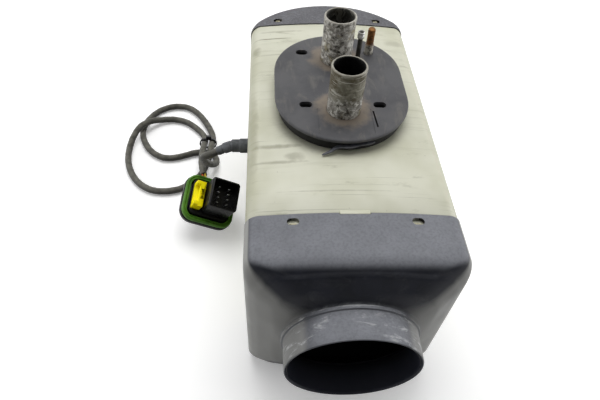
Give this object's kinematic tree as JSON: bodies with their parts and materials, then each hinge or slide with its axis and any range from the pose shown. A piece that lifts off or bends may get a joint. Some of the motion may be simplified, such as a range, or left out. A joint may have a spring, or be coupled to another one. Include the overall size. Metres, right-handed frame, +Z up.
{
  "type": "truck air heater",
  "caption": "Diesel-fired truck air heater lying on its cover: boxy split shell, hot-air and intake hoods with round spigots, sealed foot with exhaust and air pipes, cable with plug.",
  "frame": {"origin": "centre of the rest face under the shell, on the surface the heater lies on", "axes": "+Z up, away from the rest face and along the exhaust, air and fuel pipes; +Y along the shaft from the hot-air outlet to the cold-air intake; +X away from the side with the cable"},
  "size_m": [0.2776, 0.371, 0.186],
  "materials": {
    "shell_plastic": "moulded beige-grey polyamide, satin and dusty",
    "hood_plastic": "moulded slate-grey glass-filled polyamide, fine grain",
    "side_cover_plastic": "moulded dark grey polyamide",
    "inner_plastic": "moulded black polyamide",
    "plug_plastic": "moulded black polybutylene terephthalate",
    "seal_rubber": "moulded dark grey silicone rubber",
    "green_rubber": "moulded green silicone rubber",
    "yellow_plastic": "moulded yellow polybutylene terephthalate",
    "harness_tape": "cloth tape wound over the wires",
    "cast_aluminium": "die-cast",
    "pipe_steel": "stainless tube, corroded and stained",
    "bright_steel": "zinc-plated or ground",
    "rusty_steel": "zinc-plated steel, rusted",
    "heat_steel": "heat-resistant sheet, tempered brown",
    "gasket_fibre": "pressed graphite fibre",
    "magnet": "sintered ferrite",
    "lamination": "stamped electrical steel",
    "board": "lacquered glass-epoxy laminate",
    "orange_pvc": "extruded insulation",
    "yellow_pvc": "extruded insulation",
    "black_pvc": "extruded insulation"
  },
  "bodies": {
    "heater": {"blower_cover": "cast_aluminium", "blower_housing": "cast_aluminium", "burner_gasket": "gasket_fibre", "burner_screw_1": "bright_steel", "burner_screw_2": "bright_steel", "burner_screw_3": "bright_steel", "burner_screw_4": "bright_steel", "cable_gland": "seal_rubber", "cable_harness": "harness_tape", "cable_tie": "plug_plastic", "circuit_board": "board", "combustion_air_pipe": "pipe_steel", "combustion_chamber": "heat_steel", "connector_base": "plug_plastic", "connector_housing": "plug_plastic", "control_cover": "inner_plastic", "control_housing": "inner_plastic", "control_screw_1": "bright_steel", "control_screw_2": "bright_steel", "cover_shell": "shell_plastic", "evaporator_screen": "heat_steel", "exhaust_pipe": "pipe_steel", "flange_seal": "seal_rubber", "front_bearing": "bright_steel", "fuel_pipe": "pipe_steel", "fuel_pipe_ferrule": "bright_steel", "glow_plug": "bright_steel", "heat_exchanger": "cast_aluminium", "intake_grille": "hood_plastic", "intake_hood": "hood_plastic", "motor_can": "bright_steel", "motor_screw_1": "bright_steel", "motor_screw_2": "bright_steel", "motor_screw_3": "bright_steel", "mounting_shell": "shell_plastic", "mounting_stud": "rusty_steel", "outlet_hood": "hood_plastic", "overheat_sensor": "bright_steel", "plug_flange": "plug_plastic", "plug_seal": "green_rubber", "rear_bearing": "bright_steel", "sensor_clip": "bright_steel", "side_cover": "side_cover_plastic", "stator": "lamination", "wire_black": "black_pvc", "wire_orange": "orange_pvc", "wire_yellow": "yellow_pvc"},
    "rotor": {"motor_shaft": "bright_steel", "rotor_magnet": "magnet", "combustion_impeller": "inner_plastic", "fan_wheel": "inner_plastic"},
    "lock": {"secondary_lock": "yellow_plastic"}
  },
  "joints": [
    {"name": "rotor_spin", "type": "hinge", "parent": "heater", "child": "rotor", "pos_m": [0, 0.09, 0.07], "axis": [0, 1, 0], "continuous": true},
    {"name": "lock_slide", "type": "slide", "parent": "heater", "child": "lock", "axis": [0.4191, -0.3492, 0.8381], "range_m": [0, 0.003]}
  ]
}
